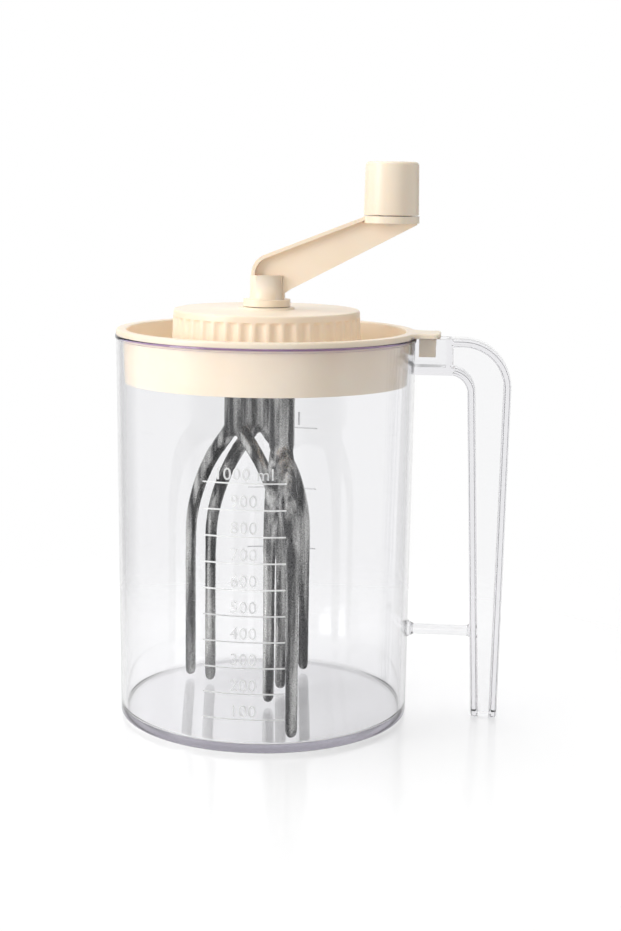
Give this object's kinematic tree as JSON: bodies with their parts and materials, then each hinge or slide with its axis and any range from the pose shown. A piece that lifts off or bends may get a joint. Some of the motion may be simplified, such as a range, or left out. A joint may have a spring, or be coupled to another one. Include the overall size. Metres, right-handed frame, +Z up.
{
  "type": "crank mayonnaise mixer jar",
  "caption": "Clear measuring jar with side handle and a cream lid whose hand crank drives cast wishbone beaters through a planetary gear drum.",
  "frame": {"origin": "centre of the jar's flat underside, on the jar's axis", "axes": "+Z up along the jar's axis, +X towards the handle, the litre scale faces -Y"},
  "size_m": [0.1565, 0.1194, 0.2205],
  "materials": {
    "clear_plastic": "clear moulded plastic",
    "cream_plastic": "glossy cream plastic",
    "gear_plastic": "satin white gear plastic",
    "cast_metal": "rough grey casting",
    "screw_steel": "plain steel"
  },
  "bodies": {
    "jar": {"jar": "clear_plastic", "handle": "clear_plastic"},
    "lid": {"lid": "cream_plastic", "ring_gear": "gear_plastic", "floor_bush": "gear_plastic", "gear_cap": "cream_plastic", "cap_bush": "gear_plastic", "cap_screws": "screw_steel"},
    "crank": {"crank": "cream_plastic", "carrier": "gear_plastic", "planet_pins": "screw_steel", "crank_screw": "screw_steel", "knob_pin": "screw_steel", "knob_clip": "screw_steel"},
    "knob": {"knob": "cream_plastic", "knob_plug": "cream_plastic"},
    "planet_a": {"planet_a": "gear_plastic"},
    "planet_b": {"planet_b": "gear_plastic"},
    "planet_c": {"planet_c": "gear_plastic"},
    "rotor": {"sun_shaft": "screw_steel", "rotor_plate": "cast_metal", "beater_left": "cast_metal", "beater_back": "cast_metal", "beater_front": "cast_metal", "beater_screws": "screw_steel", "rotor_screw": "screw_steel"}
  },
  "joints": [
    {"name": "lid_lift", "type": "slide", "parent": "jar", "child": "lid", "axis": [0, 0, 1], "range_m": [0, 0.16]},
    {"name": "crank_turn", "type": "hinge", "parent": "lid", "child": "crank", "pos_m": [0, 0, 0.165], "axis": [0, 0, 1], "continuous": true},
    {"name": "knob_turn", "type": "hinge", "parent": "crank", "child": "knob", "pos_m": [0.0484, 0, 0.21], "axis": [0, 0, 1], "continuous": true},
    {"name": "rotor_spin", "type": "hinge", "parent": "lid", "child": "rotor", "pos_m": [0, 0, 0.14], "axis": [0, 0, 1], "continuous": true},
    {"name": "planet_a_spin", "type": "hinge", "parent": "crank", "child": "planet_a", "pos_m": [0.018, 0, 0.147], "axis": [0, 0, 1], "continuous": true},
    {"name": "planet_b_spin", "type": "hinge", "parent": "crank", "child": "planet_b", "pos_m": [-0.009, 0.01559, 0.147], "axis": [0, 0, 1], "continuous": true},
    {"name": "planet_c_spin", "type": "hinge", "parent": "crank", "child": "planet_c", "pos_m": [-0.009, -0.01559, 0.147], "axis": [0, 0, 1], "continuous": true}
  ],
  "couplings": [
    {"joint": "crank_turn", "follows": "rotor_spin", "ratio": 0.25},
    {"joint": "planet_a_spin", "follows": "rotor_spin", "ratio": -0.75},
    {"joint": "planet_b_spin", "follows": "rotor_spin", "ratio": -0.75},
    {"joint": "planet_c_spin", "follows": "rotor_spin", "ratio": -0.75}
  ]
}
